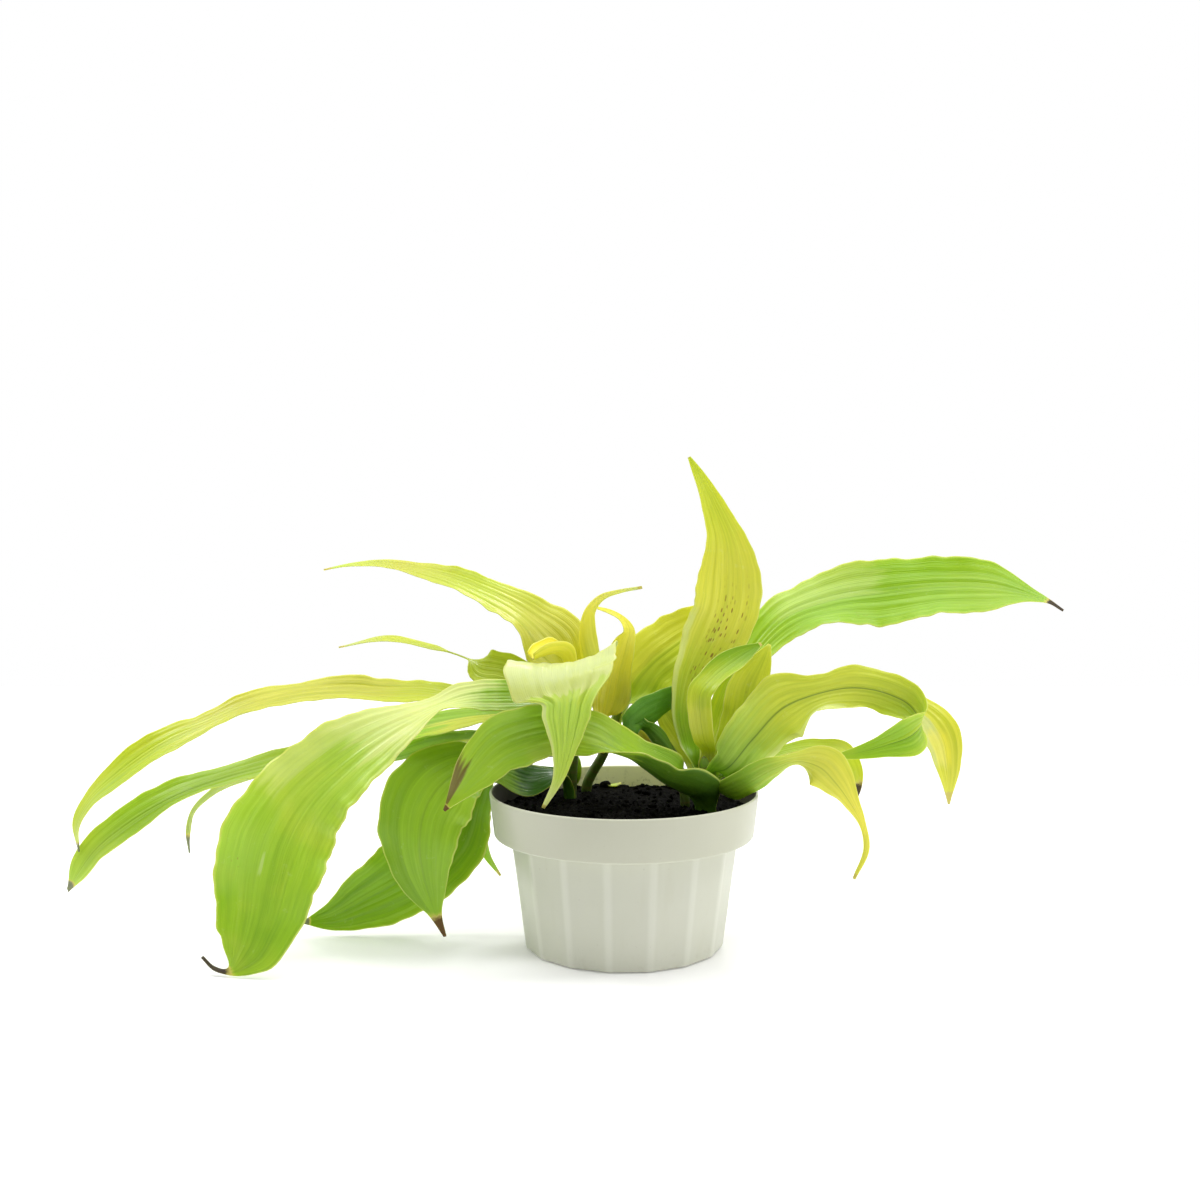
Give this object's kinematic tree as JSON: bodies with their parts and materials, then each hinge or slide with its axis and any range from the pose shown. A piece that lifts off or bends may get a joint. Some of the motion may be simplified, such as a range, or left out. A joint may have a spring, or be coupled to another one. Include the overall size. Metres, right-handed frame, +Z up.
{
  "type": "potted dracaena",
  "caption": "Low, spreading dracaena with long wavy yellow-green leaves on slim stems, in soil in a faceted off-white plastic pot.",
  "frame": {"origin": "middle of the pot's flat base, on the surface that it stands on", "axes": "+Z up; -Y towards the side that the picture shows; +X to that view's right, along the plant's longest spread"},
  "size_m": [0.4489, 0.12, 0.2184],
  "materials": {
    "leaf_deep_green": "deep green leaf, waxy half gloss, ribbed along its length",
    "leaf_green": "fresh green leaf, waxy half gloss, ribbed along its length",
    "leaf_pale_green": "very pale green leaf, half gloss",
    "leaf_yellow": "yellowed leaf, half gloss, brown specks",
    "leaf_yellow_green": "yellow-green leaf, waxy half gloss, ribbed along its length",
    "pot_plastic": "off-white injection-moulded plastic, half gloss",
    "potting_soil": "loose, damp, near-black peat compost, dull and crumbly",
    "stem_green": "dark green live stem, slightly glossy"
  },
  "bodies": {
    "root": {"pot": "pot_plastic", "soil": "potting_soil", "stem_left": "stem_green", "stem_centre": "stem_green", "stem_slanted": "stem_green", "stem_right": "stem_green", "leaf_upper_left": "leaf_yellow_green", "leaf_left_twisted": "leaf_yellow_green", "leaf_front_pale": "leaf_pale_green", "leaf_front_large": "leaf_green", "leaf_left_long": "leaf_yellow_green", "leaf_left_lower": "leaf_green", "leaf_left_narrow": "leaf_deep_green", "leaf_hanging_left": "leaf_green", "leaf_hanging_back": "leaf_deep_green", "leaf_hanging_tip": "leaf_green", "leaf_new_rolled": "leaf_yellow", "leaf_new_spike": "leaf_yellow_green", "leaf_curled_small": "leaf_yellow_green", "leaf_centre_wide": "leaf_yellow_green", "leaf_dry_small": "leaf_yellow", "leaf_centre_dark": "leaf_deep_green", "leaf_right_inner": "leaf_yellow_green", "leaf_tall_upright": "leaf_yellow", "leaf_right_far": "leaf_green", "leaf_right_small": "leaf_yellow_green", "leaf_right_behind": "leaf_yellow_green", "leaf_right_drooping": "leaf_yellow", "leaf_right_arched": "leaf_yellow_green", "leaf_right_low": "leaf_yellow_green", "leaf_right_lower_back": "leaf_yellow_green", "leaf_front_wide": "leaf_green", "leaf_scrap": "leaf_pale_green"}
  },
  "joints": []
}
